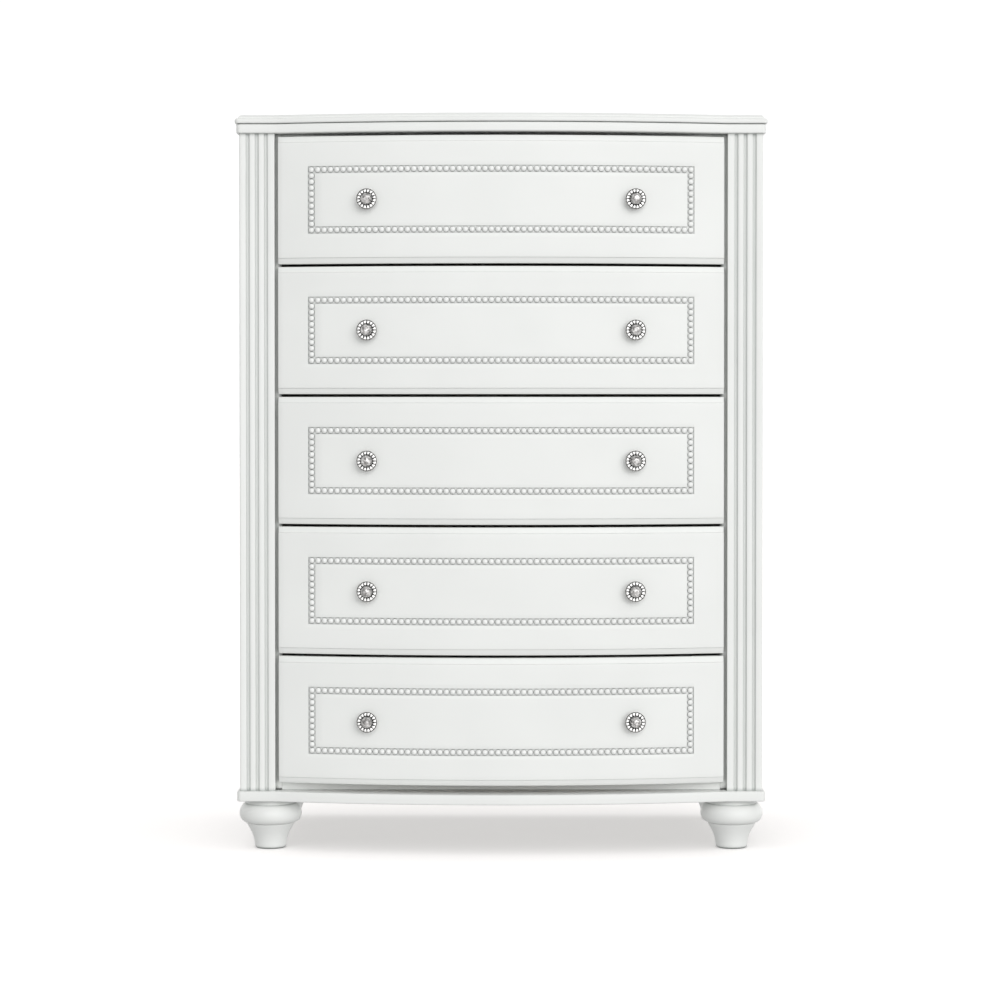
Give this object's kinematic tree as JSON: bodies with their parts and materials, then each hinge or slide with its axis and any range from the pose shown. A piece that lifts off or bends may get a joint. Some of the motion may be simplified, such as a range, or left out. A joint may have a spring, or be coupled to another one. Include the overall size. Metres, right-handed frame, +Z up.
{
  "type": "chest of drawers",
  "caption": "Tall bow-front chest with full-width drawers on telescopic slides, beaded drawer frames, fluted pilasters, a moulded top and turned bun feet.",
  "frame": {"origin": "on the floor, midway between the sides and midway between the knob tips and the back", "axes": "+Z up, the drawer fronts face -Y, +X to the right as seen from the front"},
  "size_m": [0.9352, 0.4839, 1.295],
  "materials": {
    "white_paint": "smooth satin white paint with a slightly cool tone",
    "drawer_box_wood": "clear-sealed pale plywood and softwood",
    "back_board": "thin hardboard, off-white outside",
    "knob_metal": "polished nickel with dark recesses",
    "knob_crystal": "cut smoky grey crystal with a foiled back",
    "slide_steel": "bright zinc-plated rolled steel"
  },
  "bodies": {
    "case": {"top_panel": "white_paint", "top_moulding": "white_paint", "base_board": "white_paint", "left_pilaster": "white_paint", "right_pilaster": "white_paint", "left_side_panel": "white_paint", "right_side_panel": "white_paint", "left_stile": "white_paint", "right_stile": "white_paint", "top_rail": "white_paint", "bottom_rail": "white_paint", "front_left_foot": "white_paint", "front_right_foot": "white_paint", "rear_left_foot": "white_paint", "rear_right_foot": "white_paint", "back_panel": "back_board", "corner_blocks": "drawer_box_wood", "slide_cleats": "drawer_box_wood", "foot_bolts": "slide_steel", "case_slide_members": "slide_steel"},
    "drawer_1": {"drawer_1_front": "white_paint", "drawer_1_bead_frame": "white_paint", "drawer_1_knobs": "knob_metal", "drawer_1_sides": "drawer_box_wood", "drawer_1_back": "drawer_box_wood", "drawer_1_bottom": "drawer_box_wood", "drawer_1_slide_members": "slide_steel"},
    "drawer_1_middle": {"drawer_1_middle_members": "slide_steel"},
    "drawer_2": {"drawer_2_front": "white_paint", "drawer_2_bead_frame": "white_paint", "drawer_2_knobs": "knob_metal", "drawer_2_sides": "drawer_box_wood", "drawer_2_back": "drawer_box_wood", "drawer_2_bottom": "drawer_box_wood", "drawer_2_slide_members": "slide_steel"},
    "drawer_2_middle": {"drawer_2_middle_members": "slide_steel"},
    "drawer_3": {"drawer_3_front": "white_paint", "drawer_3_bead_frame": "white_paint", "drawer_3_knobs": "knob_metal", "drawer_3_sides": "drawer_box_wood", "drawer_3_back": "drawer_box_wood", "drawer_3_bottom": "drawer_box_wood", "drawer_3_slide_members": "slide_steel"},
    "drawer_3_middle": {"drawer_3_middle_members": "slide_steel"},
    "drawer_4": {"drawer_4_front": "white_paint", "drawer_4_bead_frame": "white_paint", "drawer_4_knobs": "knob_metal", "drawer_4_sides": "drawer_box_wood", "drawer_4_back": "drawer_box_wood", "drawer_4_bottom": "drawer_box_wood", "drawer_4_slide_members": "slide_steel"},
    "drawer_4_middle": {"drawer_4_middle_members": "slide_steel"},
    "drawer_5": {"drawer_5_front": "white_paint", "drawer_5_bead_frame": "white_paint", "drawer_5_knobs": "knob_metal", "drawer_5_sides": "drawer_box_wood", "drawer_5_back": "drawer_box_wood", "drawer_5_bottom": "drawer_box_wood", "drawer_5_slide_members": "slide_steel"},
    "drawer_5_middle": {"drawer_5_middle_members": "slide_steel"}
  },
  "joints": [
    {"name": "drawer_1_slide", "type": "slide", "parent": "case", "child": "drawer_1", "axis": [0, -1, 0], "range_m": [0, 0.34]},
    {"name": "drawer_1_middle_slide", "type": "slide", "parent": "case", "child": "drawer_1_middle", "axis": [0, -1, 0], "range_m": [0, 0.17]},
    {"name": "drawer_2_slide", "type": "slide", "parent": "case", "child": "drawer_2", "axis": [0, -1, 0], "range_m": [0, 0.34]},
    {"name": "drawer_2_middle_slide", "type": "slide", "parent": "case", "child": "drawer_2_middle", "axis": [0, -1, 0], "range_m": [0, 0.17]},
    {"name": "drawer_3_slide", "type": "slide", "parent": "case", "child": "drawer_3", "axis": [0, -1, 0], "range_m": [0, 0.34]},
    {"name": "drawer_3_middle_slide", "type": "slide", "parent": "case", "child": "drawer_3_middle", "axis": [0, -1, 0], "range_m": [0, 0.17]},
    {"name": "drawer_4_slide", "type": "slide", "parent": "case", "child": "drawer_4", "axis": [0, -1, 0], "range_m": [0, 0.34]},
    {"name": "drawer_4_middle_slide", "type": "slide", "parent": "case", "child": "drawer_4_middle", "axis": [0, -1, 0], "range_m": [0, 0.17]},
    {"name": "drawer_5_slide", "type": "slide", "parent": "case", "child": "drawer_5", "axis": [0, -1, 0], "range_m": [0, 0.34]},
    {"name": "drawer_5_middle_slide", "type": "slide", "parent": "case", "child": "drawer_5_middle", "axis": [0, -1, 0], "range_m": [0, 0.17]}
  ],
  "couplings": [
    {"joint": "drawer_1_middle_slide", "follows": "drawer_1_slide", "ratio": 0.5},
    {"joint": "drawer_2_middle_slide", "follows": "drawer_2_slide", "ratio": 0.5},
    {"joint": "drawer_3_middle_slide", "follows": "drawer_3_slide", "ratio": 0.5},
    {"joint": "drawer_4_middle_slide", "follows": "drawer_4_slide", "ratio": 0.5},
    {"joint": "drawer_5_middle_slide", "follows": "drawer_5_slide", "ratio": 0.5}
  ]
}
